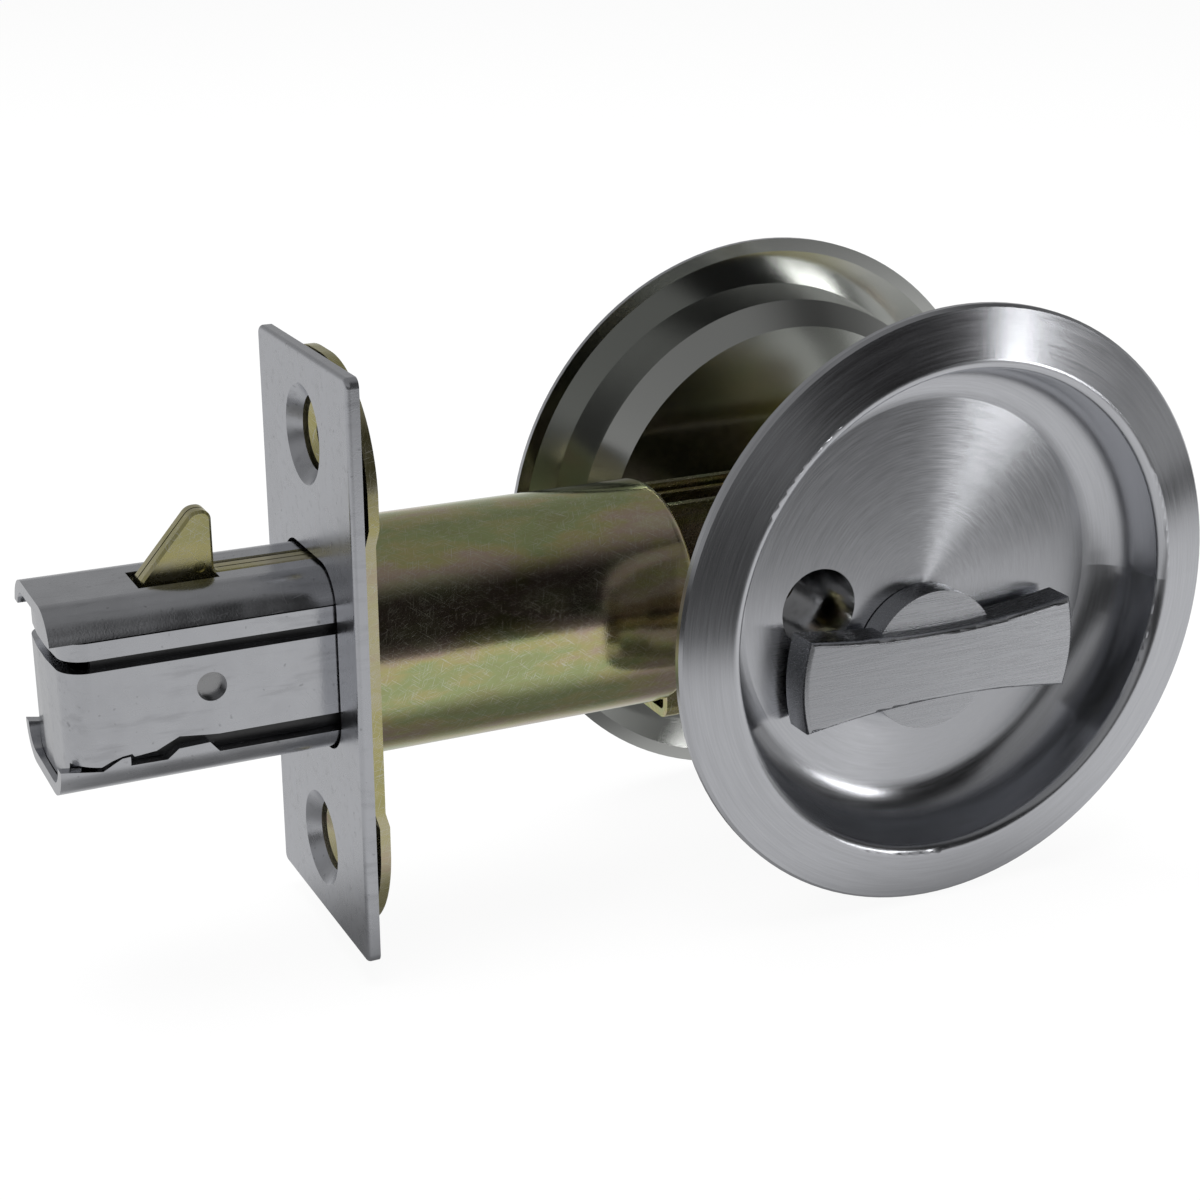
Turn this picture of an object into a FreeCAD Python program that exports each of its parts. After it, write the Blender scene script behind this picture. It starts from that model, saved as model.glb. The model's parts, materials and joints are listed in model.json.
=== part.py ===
import FreeCAD, Part
import math
import os
import Sketcher

# Round privacy lock for a cavity sliding door: two flush pulls back to back in the door,
# and an edge latch whose box bolt carries a drop-in hook, drawn with the bolt thrown.
# The frame: the origin is the middle of the faceplate's front face, +X goes into the door,
# +Y goes through the door from the thumbturn side to the release side, and +Z is up.
# Lengths are in millimetres and angles in degrees.

# Driving dimensions
DIMENSIONS = [
    # the door and where the lock sits in it
    ("backset", 60.3),
    ("door_thickness", 38.0),
    ("turn_drop", 6.2),
    # clearances
    ("running", 0.05),
    ("slack", 0.35),
    ("seam", 0.15),
    # faceplate and the plate behind it
    ("plate_width", 25.4),
    ("plate_height", 57.15),
    ("plate_thick", 1.25),
    ("plate_corner", 0.9),
    ("plate_edge", 0.45),
    ("screw_from_end", 7.925),
    ("screw_radius", 2.4),
    ("dish_radius", 4.8),
    ("dish_floor", 3.6),
    ("back_thick", 1.0),
    ("back_from_end", 0.075),
    ("back_corner", 11.4),
    ("ear_length", 13.175),
    ("ear_ramp", 1.5),
    ("ear_set", 1.1),
    ("ear_dish", 3.2),
    ("ear_dish_depth", 0.5),
    # latch tube and the folded case behind it
    ("tube_radius", 11.5),
    ("tube_wall", 0.95),
    ("tube_to_axis", 24.0),
    ("tube_roll", 1.3),
    ("tube_mouth_corner", 0.5),
    ("case_width", 8.4),
    ("case_sheet", 0.9),
    ("case_top", 10.0),
    ("case_below_axis", 7.0),
    ("case_behind_axis", 21.7),
    ("case_corner", 3.0),
    ("fold_radius", 1.4),
    # bolt
    ("bolt_throw", 26.2),
    ("bolt_width", 14.6),
    ("bolt_height", 18.0),
    ("bolt_corner", 3.6),
    ("bolt_sheet", 1.2),
    ("bolt_tail", 8.5),
    ("skirt_low", 6.2),
    ("slot_high", 4.4),
    ("slot_low", 3.3),
    ("strap_low", 4.5),
    ("skirt_high", 6.4),
    ("nose_set", 1.0),
    ("nose_bulge", 0.4),
    ("nose_corner", 2.6),
    ("nose_flat", 1.8),
    ("nose_bow", 12.0),
    ("liner_sheet", 0.8),
    ("liner_gap", 6.4),
    ("liner_set", 2.65),
    ("liner_short", 0.2),
    ("lap", 0.02),
    ("rivet_radius", 1.4),
    ("rivet_sink", 0.9),
    ("lever_slot_end", 4.5),
    ("hook_slot_lead", 0.65),
    ("hook_slot_near", 1.3),
    ("hook_slot_far", 0.3),
    # hook
    ("hook_ply", 1.2),
    ("hook_gap", 0.2),
    ("hook_rise", 5.95),
    ("hook_lead", 9.45),
    ("hook_length", 6.9),
    ("hook_tip", 1.75),
    ("hook_tip_round", 0.9),
    ("hook_toe", 1.6),
    ("hook_edge", 0.25),
    ("hook_rivet_back", 1.35),
    ("hook_rivet_high", 0.65),
    ("hook_rivet_radius", 0.55),
    ("hook_rivet_sink", 0.2),
    ("lever_low", 3.6),
    ("lever_bend", 4.6),
    ("lever_round", 6.0),
    ("deck_end", 2.0),
    ("eye_half", 3.1),
    ("pivot_back", 16.0),
    ("pivot_low", 1.5),
    ("pivot_radius", 1.5),
    # drive rails and pin
    ("rail_sheet", 0.9),
    ("rail_spread", 3.4),
    ("rail_front", 13.6),
    ("rail_arm_low", 2.4),
    ("rail_arm_high", 3.1),
    ("rail_top", 9.3),
    ("rail_low", 2.5),
    ("rail_step", 4.0),
    ("rail_round", 2.0),
    ("pin_radius", 1.5),
    # hub, spindle and fork
    ("hub_radius", 4.4),
    ("hub_length", 10.0),
    ("fork_thick", 1.6),
    ("fork_slot", 5.3),
    ("fork_prong", 2.2),
    ("fork_length", 20.2),
    ("fork_root", 4.2),
    ("fork_shoulder", 7.0),
    ("fork_depth", 0.6),
    ("spindle_side", 5.0),
    # pulls
    ("pull_radius", 31.0),
    ("pull_sheet", 0.9),
    ("pull_land", 1.4),
    ("pull_rim_edge", 0.3),
    ("flange_width", 6.1),
    ("crest_rise", 1.3),
    ("wall_draw", 0.9),
    ("floor_depth", 6.3),
    ("floor_corner", 4.0),
    ("floor_back_cut", 2.5),
    ("sleeve_side", 12.0),
    ("sleeve_left_up", 0.2),
    ("sleeve_right_down", 7.0),
    ("sleeve_radius", 5.0),
    ("sleeve_bore", 4.2),
    ("sleeve_floor", 1.0),
    ("fixing_radius", 2.2),
    ("tapping_radius", 1.75),
    # thumbturn and coin release
    ("bar_length", 32.4),
    ("bar_end", 9.8),
    ("bar_waist", 7.4),
    ("bar_bulge", 0.7),
    ("bar_thick", 3.6),
    ("bar_stand", 1.1),
    ("bar_edge", 0.5),
    ("disc_radius", 7.4),
    ("disc_rise", 3.0),
    ("neck_radius", 5.0),
    ("clip_radius", 6.6),
    ("clip_thick", 0.5),
    ("release_radius", 6.0),
    ("release_rise", 1.6),
    ("coin_slot", 1.6),
    ("coin_depth", 1.0),
]

doc = FreeCAD.newDocument("pocket_door_lock")
sheet = doc.addObject("Spreadsheet::Sheet", "dim")
for row, (alias, size) in enumerate(DIMENSIONS, start=1):
    sheet.set("A%d" % row, str(size))
    sheet.setAlias("A%d" % row, alias)
doc.recompute()

# Places worked out from the driving dimensions, written once and used by several pieces
PLATES_BACK = "(dim.plate_thick + dim.back_thick)"
SCREW_Z = "(dim.plate_height / 2 - dim.screw_from_end)"
BACK_END = "(dim.plate_height / 2 - dim.back_from_end)"
WEB_END = "(dim.plate_height / 2 - dim.ear_length)"
EAR_FRONT = "(dim.plate_thick + dim.ear_set)"
EAR_BACK = "(dim.plate_thick + dim.ear_set + dim.back_thick)"
TUBE_BACK = "(dim.backset - dim.tube_to_axis)"
BOLT_FRONT = "(-dim.bolt_throw)"
NOSE = "(dim.nose_set - dim.bolt_throw)"
BOLT_HALF_Y = "(dim.bolt_width / 2)"
BOLT_HALF_Z = "(dim.bolt_height / 2)"
BOLT_INSIDE_Z = "(dim.bolt_height / 2 - dim.bolt_sheet)"
HALF_THROW = "(dim.bolt_throw / 2)"
PIN_X = "(dim.backset - dim.bolt_throw / 2)"
PIN_Z = "(dim.bolt_throw / 2 - dim.turn_drop)"
HOOK_RIVET_X = "(-dim.hook_lead - dim.hook_rivet_back)"
HOOK_RIVET_Z = "(dim.bolt_height / 2 + dim.hook_rivet_high)"
RAIL_IN = "(dim.rail_spread / 2)"
RAIL_OUT = "(dim.rail_spread / 2 + dim.rail_sheet)"
CASE_IN = "(dim.case_width / 2 - dim.case_sheet)"
DOOR_FACE = "(dim.door_thickness / 2)"
RIM_FRONT = "(dim.door_thickness / 2 + dim.pull_sheet)"
FLOOR_FRONT = "(dim.door_thickness / 2 + dim.pull_sheet - dim.floor_depth)"
FLOOR_BACK = "(dim.door_thickness / 2 - dim.floor_depth)"
CREST = "(dim.pull_radius - dim.flange_width)"
WALL = "(dim.pull_radius - dim.flange_width - dim.wall_draw)"
NECK_END = "(dim.door_thickness / 2 - dim.floor_depth - dim.slack - dim.clip_thick)"

probe = doc.addObject("Part::Vertex", "probe")


def number(expression):
    """The value of an expression of the sheet, in millimetres."""
    probe.setExpression("X", expression)
    probe.recompute()
    return probe.X.Value


def bind(item, **expressions):
    """Tie an object's sizes to the sheet."""
    for name, expression in expressions.items():
        item.setExpression(name, expression)
    return item


def place(item, x="0", y="0", z="0"):
    """Tie an object's place to the sheet."""
    item.setExpression("Placement.Base.x", x)
    item.setExpression("Placement.Base.y", y)
    item.setExpression("Placement.Base.z", z)
    return item


# Sketches


def new_body(label):
    body = doc.addObject("PartDesign::Body", label)
    body.Label = label
    return body


def new_sketch(body, role, height="0"):
    """A sketch on one of the body's own planes, moved along that plane's normal."""
    drawn = body.newObject("Sketcher::SketchObject", body.Name + "_sketch")
    planes = [item for item in body.Origin.OriginFeatures if item.Role == role]
    drawn.AttachmentSupport = [(planes[0], "")]
    drawn.MapMode = "FlatFace"
    drawn.setExpression("AttachmentOffset.Base.z", height)
    return drawn


def pin_down(drawn, line, end, x, y):
    """Hold one end of a line, or a point, at two expressions."""
    for kind, expression, axis in (("DistanceX", x, -2), ("DistanceY", y, -1)):
        if expression == "0":
            drawn.addConstraint(Sketcher.Constraint("PointOnObject", line, end, axis))
            continue
        rule = Sketcher.Constraint(kind, -1, 1, line, end, number(expression))
        index = drawn.addConstraint(rule)
        name = "%s_%d_%d" % (kind, line, end)
        drawn.renameConstraint(index, name)
        drawn.setExpression("Constraints." + name, expression)


def outline(drawn, corners):
    """A closed outline through corners given as (x, y) or (x, y, rounding radius)."""
    count = len(corners)
    spots = [FreeCAD.Vector(number(c[0]), number(c[1]), 0) for c in corners]
    radii = [number(c[2]) if len(c) > 2 else 0.0 for c in corners]
    ways = [(spots[(i + 1) % count] - spots[i]).normalize() for i in range(count)]
    turns = []
    for i in range(count):
        before = ways[i - 1]
        turns.append(math.atan2(before.x * ways[i].y - before.y * ways[i].x, before.dot(ways[i])))
    cuts = [radii[i] * math.tan(abs(turns[i]) / 2) for i in range(count)]
    first = drawn.GeometryCount
    for i in range(count):
        begin = spots[i] + ways[i] * cuts[i]
        end = spots[(i + 1) % count] - ways[i] * cuts[(i + 1) % count]
        drawn.addGeometry(Part.LineSegment(begin, end))
    for i, corner in enumerate(corners):
        before = first + (i - 1) % count
        after = first + i
        if radii[i] == 0.0:
            drawn.addConstraint(Sketcher.Constraint("Coincident", before, 2, after, 1))
            pin_down(drawn, after, 1, corner[0], corner[1])
            continue
        side = 1 if turns[i] > 0 else -1
        start = spots[i] - ways[i - 1] * cuts[i]
        normal = FreeCAD.Vector(-ways[i - 1].y, ways[i - 1].x, 0) * side
        centre = start + normal * radii[i]
        first_angle = math.atan2(start.y - centre.y, start.x - centre.x)
        span = (first_angle, first_angle + turns[i]) if side > 0 else (first_angle + turns[i], first_angle)
        circle = Part.Circle(centre, FreeCAD.Vector(0, 0, 1), radii[i])
        arc = drawn.addGeometry(Part.ArcOfCircle(circle, span[0], span[1]))
        point = drawn.addGeometry(Part.Point(spots[i]), True)
        begin_end = (1, 2) if side > 0 else (2, 1)
        drawn.addConstraint(Sketcher.Constraint("Tangent", before, 2, arc, begin_end[0]))
        drawn.addConstraint(Sketcher.Constraint("Tangent", arc, begin_end[1], after, 1))
        drawn.addConstraint(Sketcher.Constraint("PointOnObject", point, 1, before))
        drawn.addConstraint(Sketcher.Constraint("PointOnObject", point, 1, after))
        index = drawn.addConstraint(Sketcher.Constraint("Radius", arc, radii[i]))
        drawn.renameConstraint(index, "radius_%d" % arc)
        drawn.setExpression("Constraints.radius_%d" % arc, corner[2])
        pin_down(drawn, point, 1, corner[0], corner[1])


def rectangle(drawn, low_x, low_y, high_x, high_y, radius=None):
    corners = [(low_x, low_y), (high_x, low_y), (high_x, high_y), (low_x, high_y)]
    if radius:
        corners = [corner + (radius,) for corner in corners]
    outline(drawn, corners)


def ring(drawn, radius, x="0", y="0"):
    """A circle whose middle and radius are expressions."""
    middle = FreeCAD.Vector(number(x), number(y), 0)
    circle = drawn.addGeometry(Part.Circle(middle, FreeCAD.Vector(0, 0, 1), number(radius)))
    pin_down(drawn, circle, 3, x, y)
    index = drawn.addConstraint(Sketcher.Constraint("Radius", circle, number(radius)))
    drawn.renameConstraint(index, "radius_%d" % circle)
    drawn.setExpression("Constraints.radius_%d" % circle, radius)


def pad(body, drawn, length, middle=False):
    made = body.newObject("PartDesign::Pad", body.Name + "_pad")
    made.Profile = drawn
    made.Midplane = middle
    bind(made, Length=length)
    doc.recompute()
    return made


def pocket(body, drawn, length=None, against_normal=True):
    """A cut from the sketch, through everything both ways where no length is given."""
    before = body.Shape.Volume
    made = body.newObject("PartDesign::Pocket", body.Name + "_pocket")
    made.Profile = drawn
    if length is None:
        made.Type = "ThroughAll"
        made.Midplane = True
    else:
        bind(made, Length=length)
        made.Reversed = not against_normal
    doc.recompute()
    if body.Shape.Volume > before - 1e-6:
        raise ValueError(body.Label + ": a pocket cut nothing")
    return made


def turned(body, drawn, axis):
    made = body.newObject("PartDesign::Revolution", body.Name + "_turned")
    made.Profile = drawn
    made.ReferenceAxis = (drawn, [axis])
    made.Angle = 360
    doc.recompute()
    return made


def edges_where(item, wanted):
    return ["Edge%d" % (i + 1) for i, edge in enumerate(item.Shape.Edges) if wanted(edge)]


def rounded(body, base, names, radius):
    made = body.newObject("PartDesign::Fillet", body.Name + "_fillet")
    made.Base = (base, names)
    bind(made, Radius=radius)
    doc.recompute()
    return made


def bevelled(body, base, names, size):
    made = body.newObject("PartDesign::Chamfer", body.Name + "_chamfer")
    made.Base = (base, names)
    bind(made, Size=size)
    doc.recompute()
    return made


# Solids that are combined


def rod(name, radius, length, x="0", y="0", z="0", along="Y"):
    """A plain round bar that starts at x, y, z and runs along an axis of the frame."""
    made = doc.addObject("Part::Cylinder", name)
    bind(made, Radius=radius, Height=length)
    turn = {"X": ((0, 1, 0), 90), "Y": ((1, 0, 0), -90), "Z": ((0, 0, 1), 0)}[along]
    made.Placement.Rotation = FreeCAD.Rotation(FreeCAD.Vector(*turn[0]), turn[1])
    return place(made, x, y, z)


def block(name, x, y, z):
    """A box given by its low and high ends along each axis."""
    made = doc.addObject("Part::Box", name)
    bind(made, Length="%s - (%s)" % (x[1], x[0]), Width="%s - (%s)" % (y[1], y[0]),
         Height="%s - (%s)" % (z[1], z[0]))
    return place(made, x[0], y[0], z[0])


def combined(kind, name, first, second):
    made = doc.addObject("Part::" + kind, name)
    made.Base = first
    made.Tool = second
    return made


def joined(name, *items):
    made = doc.addObject("Part::Compound", name)
    made.Links = list(items)
    return made


def labelled(item, label):
    item.Label = label
    return item


# Faceplate: flat satin plate with two dished holes and a window in the bolt's own outline


def bolt_window(body, height):
    """The window that the bolt runs through, with its all-round gap."""
    drawn = new_sketch(body, "YZ_Plane", height)
    half_y = "%s + dim.slack" % BOLT_HALF_Y
    half_z = "%s + dim.slack" % BOLT_HALF_Z
    rectangle(drawn, "-(%s)" % half_y, "-(%s)" % half_z, half_y, half_z, "dim.bolt_corner + dim.slack")
    return pocket(body, drawn)


def cone_along_x(name, radius_front, radius_back, depth, x, z):
    made = doc.addObject("Part::Cone", name)
    bind(made, Radius1=radius_front, Radius2=radius_back, Height=depth)
    made.Placement.Rotation = FreeCAD.Rotation(FreeCAD.Vector(0, 1, 0), 90)
    return place(made, x, "0", z)


def make_faceplate():
    body = new_body("faceplate_sheet")
    drawn = new_sketch(body, "YZ_Plane")
    rectangle(drawn, "-dim.plate_width / 2", "-dim.plate_height / 2", "dim.plate_width / 2",
              "dim.plate_height / 2", "dim.plate_corner")
    plate = pad(body, drawn, "dim.plate_thick")
    front = edges_where(plate, lambda edge: edge.BoundBox.XMax < 1e-6)
    rounded(body, plate, front, "dim.plate_edge")
    bolt_window(body, "0")
    shape = body
    for sign in ("-", ""):
        dish = cone_along_x("dish", "dim.dish_radius", "dim.dish_floor", "dim.plate_thick", "0", sign + SCREW_Z)
        shape = combined("Cut", "plate_dished", shape, dish)
    return labelled(shape, "faceplate")


# Plate behind it: its middle lies on the faceplate and its round-ended ears step back for the screws


def make_backplate():
    body = new_body("backplate_sheet")
    drawn = new_sketch(body, "YZ_Plane", "dim.plate_thick")
    rectangle(drawn, "-dim.plate_width / 2", "-" + BACK_END, "dim.plate_width / 2", BACK_END, "dim.back_corner")
    pad(body, drawn, "dim.ear_set + dim.back_thick")
    bolt_window(body, "dim.plate_thick")
    bend = "(%s + dim.ear_ramp)" % WEB_END
    upper = [(PLATES_BACK, WEB_END), (EAR_BACK, bend), (EAR_BACK, BACK_END),
             (EAR_FRONT, BACK_END), (EAR_FRONT, bend), ("dim.plate_thick", WEB_END)]
    lower = [(x, "-" + z) for x, z in reversed(upper)]
    strip = slab("backplate_strip", upper + lower, "-dim.plate_width / 2", "dim.plate_width / 2")
    shape = combined("Common", "backplate_bent", body, strip)
    for sign in ("-", ""):
        at = sign + SCREW_Z
        sink = cone_along_x("ear_sink", "dim.ear_dish", "dim.screw_radius", "dim.ear_dish_depth", EAR_FRONT, at)
        hole = rod("ear_hole", "dim.screw_radius", "dim.back_thick", EAR_FRONT, "0", at, along="X")
        shape = combined("Cut", "ear_pierced", combined("Cut", "ear_sunk", shape, sink), hole)
    return labelled(shape, "backplate")


# Latch tube: drawn cup with a rolled rear edge, its end open for the case


def make_latch_tube():
    body = new_body("latch_tube")
    drawn = new_sketch(body, "XY_Plane")
    inside = "dim.tube_radius - dim.tube_wall"
    outline(drawn, [
        (PLATES_BACK, inside),
        (TUBE_BACK + " - dim.tube_wall", inside),
        (TUBE_BACK + " - dim.tube_wall", "0"),
        (TUBE_BACK, "0"),
        (TUBE_BACK, "dim.tube_radius", "dim.tube_roll"),
        (PLATES_BACK, "dim.tube_radius"),
    ])
    turned(body, drawn, "H_Axis")
    drawn = new_sketch(body, "YZ_Plane", TUBE_BACK)
    rectangle(drawn, "-" + CASE_IN, "-dim.rail_top + dim.slack", CASE_IN, "dim.rail_top + dim.slack",
              "dim.tube_mouth_corner")
    pocket(body, drawn)
    return body


# Case: one folded channel, open at the top, that carries the hub and takes the fixing screws


def make_hub_case():
    body = new_body("hub_case")
    half = "(dim.case_width / 2)"
    low = "(-dim.turn_drop - dim.case_below_axis)"
    inside_fold = "dim.fold_radius - dim.case_sheet"
    drawn = new_sketch(body, "YZ_Plane", TUBE_BACK)
    outline(drawn, [
        ("-" + half, "dim.case_top"),
        ("-" + half, low, "dim.fold_radius"),
        (half, low, "dim.fold_radius"),
        (half, "dim.case_top"),
        (CASE_IN, "dim.case_top"),
        (CASE_IN, low + " + dim.case_sheet", inside_fold),
        ("-" + CASE_IN, low + " + dim.case_sheet", inside_fold),
        ("-" + CASE_IN, "dim.case_top"),
    ])
    channel = pad(body, drawn, "dim.backset + dim.case_behind_axis - " + TUBE_BACK)
    rear = number("dim.backset + dim.case_behind_axis")
    corner = edges_where(channel, lambda edge: edge.BoundBox.XMin > rear - 1e-6
                         and edge.BoundBox.ZMin > number("dim.case_top") - 1e-6)
    rounded(body, channel, corner, "dim.case_corner")
    drawn = new_sketch(body, "XZ_Plane")
    ring(drawn, "dim.hub_radius + dim.running", "dim.backset", "-dim.turn_drop")
    ring(drawn, "dim.tapping_radius", "dim.backset - dim.sleeve_side", "dim.sleeve_left_up")
    ring(drawn, "dim.tapping_radius", "dim.backset + dim.sleeve_side", "-dim.sleeve_right_down")
    pocket(body, drawn)
    return body


# Flush pulls: one turned dish each side, a flange that rises to a crest and drops to a flat floor


def make_pull(label, side):
    """side is -1 on the thumbturn's side of the door and 1 on the release's."""
    body = new_body(label)
    drawn = new_sketch(body, "XY_Plane")
    mirror = "-" if side < 0 else ""
    crest = "(%s + dim.crest_rise)" % RIM_FRONT
    inner_crest = "(%s + dim.crest_rise - dim.pull_sheet)" % RIM_FRONT
    outline(drawn, [(x, "%s(%s)" % (mirror, y)) + extra for x, y, extra in [
        ("0", FLOOR_BACK, ()),
        (WALL + " + dim.pull_sheet - dim.floor_back_cut", FLOOR_BACK, ()),
        (WALL + " + dim.pull_sheet", FLOOR_BACK + " + dim.floor_back_cut", ()),
        (CREST + " + dim.pull_sheet", inner_crest, ()),
        ("dim.pull_radius - dim.pull_land", DOOR_FACE, ()),
        ("dim.pull_radius", DOOR_FACE, ()),
        ("dim.pull_radius", RIM_FRONT + " - dim.pull_rim_edge", ()),
        ("dim.pull_radius - dim.pull_rim_edge", RIM_FRONT, ()),
        (CREST, crest, ("dim.pull_sheet",)),
        (WALL, FLOOR_FRONT, ("dim.floor_corner",)),
        ("0", FLOOR_FRONT, ()),
    ]])
    turned(body, drawn, "V_Axis")
    drawn = new_sketch(body, "XZ_Plane")
    ring(drawn, "dim.sleeve_bore", "-dim.sleeve_side", "dim.sleeve_left_up")
    ring(drawn, "dim.sleeve_bore", "dim.sleeve_side", "-dim.sleeve_right_down")
    ring(drawn, "dim.neck_radius + dim.running", "0", "-dim.turn_drop")
    pocket(body, drawn)
    return place(body, "dim.backset")


def make_sleeves(label, side):
    """The two cupped sleeves that stand a pull off the case and take its fixing screws."""
    low = "dim.case_width / 2" if side > 0 else "-" + FLOOR_BACK
    bore_low = "dim.case_width / 2 + dim.sleeve_floor" if side > 0 else low
    length = "%s - dim.case_width / 2" % FLOOR_BACK
    sleeves = []
    for x, z in (("dim.backset - dim.sleeve_side", "dim.sleeve_left_up"),
                 ("dim.backset + dim.sleeve_side", "-dim.sleeve_right_down")):
        outer = rod("sleeve_outer", "dim.sleeve_radius", length, x, low, z)
        bore = rod("sleeve_bore", "dim.sleeve_bore", length + " - dim.sleeve_floor", x, bore_low, z)
        hole = rod("sleeve_hole", "dim.fixing_radius", length, x, low, z)
        cup = combined("Cut", "sleeve_cup", outer, bore)
        sleeves.append(combined("Cut", "sleeve", cup, hole))
    return labelled(joined("sleeves", *sleeves), label)


# Thumbturn: waisted bar, round hub disc and a neck that runs in the floor of its pull


def make_thumbturn():
    body = new_body("thumbturn")
    half = "(dim.bar_length / 2)"
    end = "(dim.bar_end / 2)"
    waist = "(dim.bar_waist / 2)"
    bar_back = "(%s + dim.bar_stand)" % FLOOR_FRONT
    drawn = new_sketch(body, "XZ_Plane", bar_back)
    curved_outline(drawn, half + " - dim.bar_bulge", end, waist, "dim.bar_bulge")
    bar = pad(body, drawn, "dim.bar_thick")
    front = -number(bar_back + " + dim.bar_thick")
    names = edges_where(bar, lambda edge: edge.BoundBox.YMax < front + 1e-6)
    rounded(body, bar, names, "dim.bar_edge")
    drawn = new_sketch(body, "XZ_Plane", FLOOR_FRONT + " + dim.seam")
    ring(drawn, "dim.disc_radius")
    pad(body, drawn, "dim.disc_rise - dim.seam")
    drawn = new_sketch(body, "XZ_Plane", FLOOR_BACK + " - dim.slack")
    ring(drawn, "dim.neck_radius")
    pad(body, drawn, "dim.pull_sheet + dim.slack + dim.disc_rise / 2")
    drawn = new_sketch(body, "XZ_Plane", NECK_END)
    ring(drawn, "dim.neck_radius - dim.clip_thick")
    pad(body, drawn, "dim.clip_thick + dim.slack")
    drawn = new_sketch(body, "XZ_Plane", NECK_END)
    half_side = "(dim.spindle_side / 2 + dim.running)"
    rectangle(drawn, "-" + half_side, "-" + half_side, half_side, half_side)
    pocket(body, drawn, "dim.pull_sheet + dim.disc_rise + dim.slack", against_normal=False)
    return place(body, "dim.backset", "0", "-dim.turn_drop")


def curved_outline(drawn, half, end, waist, bulge):
    """A bar whose long sides curve in to a waist and whose ends curve out."""
    right, tall, slim, puff = (number(item) for item in (half, end, waist, bulge))
    at = FreeCAD.Vector
    stations = [
        (at(-right, -tall), at(0, -slim), at(right, -tall)),
        (at(right, -tall), at(right + puff, 0), at(right, tall)),
        (at(right, tall), at(0, slim), at(-right, tall)),
        (at(-right, tall), at(-right - puff, 0), at(-right, -tall)),
    ]
    for begin, middle, finish in stations:
        drawn.addGeometry(Part.Arc(begin, middle, finish))
    side_rise = "(%s - %s)" % (end, waist)
    side_radius = "(%s * %s / (2 * %s) + %s / 2)" % (half_text(half), half_text(half), side_rise, side_rise)
    end_radius = "(%s * %s / (2 * %s) + %s / 2)" % (end, end, bulge, bulge)
    ends_of = {0: (2, 1), 1: (1, 2), 2: (2, 1), 3: (1, 2)}
    for i in range(4):
        following = (i + 1) % 4
        drawn.addConstraint(Sketcher.Constraint("Coincident", i, ends_of[i][1], following, ends_of[following][0]))
        index = drawn.addConstraint(Sketcher.Constraint("Radius", i, drawn.Geometry[i].Radius))
        drawn.renameConstraint(index, "bow_%d" % i)
        drawn.setExpression("Constraints.bow_%d" % i, side_radius if i % 2 == 0 else end_radius)
    corners = [("-" + half_text(half), "-" + end), (half_text(half), "-" + end),
               (half_text(half), end), ("-" + half_text(half), end)]
    for i, (x, y) in enumerate(corners):
        pin_down(drawn, i, ends_of[i][0], x, y)


def half_text(half):
    return "(%s)" % half


def make_release():
    """The far side's round button with a coin slot, which turns the same spindle."""
    body = new_body("release_button")
    drawn = new_sketch(body, "XZ_Plane", "-(%s + dim.release_rise)" % FLOOR_FRONT)
    ring(drawn, "dim.release_radius")
    pad(body, drawn, "dim.release_rise - dim.seam")
    drawn = new_sketch(body, "XZ_Plane", "-(%s + dim.release_rise / 2)" % FLOOR_FRONT)
    ring(drawn, "dim.neck_radius")
    pad(body, drawn, "dim.release_rise / 2 + dim.pull_sheet + dim.slack")
    drawn = new_sketch(body, "XZ_Plane", "-(%s - dim.slack)" % FLOOR_BACK)
    ring(drawn, "dim.neck_radius - dim.clip_thick")
    pad(body, drawn, "dim.clip_thick")
    drawn = new_sketch(body, "XZ_Plane", "-(%s + dim.release_rise)" % FLOOR_FRONT)
    rectangle(drawn, "-dim.release_radius", "-dim.coin_slot / 2", "dim.release_radius", "dim.coin_slot / 2")
    pocket(body, drawn, "dim.coin_depth", against_normal=False)
    drawn = new_sketch(body, "XZ_Plane", "-" + NECK_END)
    half_side = "(dim.spindle_side / 2 + dim.running)"
    rectangle(drawn, "-" + half_side, "-" + half_side, half_side, half_side)
    pocket(body, drawn, "dim.slack + dim.clip_thick + dim.pull_sheet")
    return place(body, "dim.backset", "0", "-dim.turn_drop")


def make_clip(label, side):
    """The ring on a neck's step, just behind the floor of the pull."""
    low = NECK_END if side > 0 else "-(%s + dim.clip_thick)" % NECK_END
    at = ("dim.backset", low, "-dim.turn_drop")
    outer = rod("clip_outer", "dim.clip_radius", "dim.clip_thick", *at)
    inner = rod("clip_inner", "dim.neck_radius - dim.clip_thick", "dim.clip_thick", *at)
    return labelled(combined("Cut", "clip", outer, inner), label)


def make_spindle():
    half = "(dim.spindle_side / 2)"
    reach_near = "-(%s + dim.disc_rise / 2)" % FLOOR_FRONT
    reach_far = "(%s)" % FLOOR_BACK
    spindle = block("spindle_bar", ("dim.backset - " + half, "dim.backset + " + half), (reach_near, reach_far),
                    ("-dim.turn_drop - " + half, "-dim.turn_drop + " + half))
    return labelled(spindle, "spindle")


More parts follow.
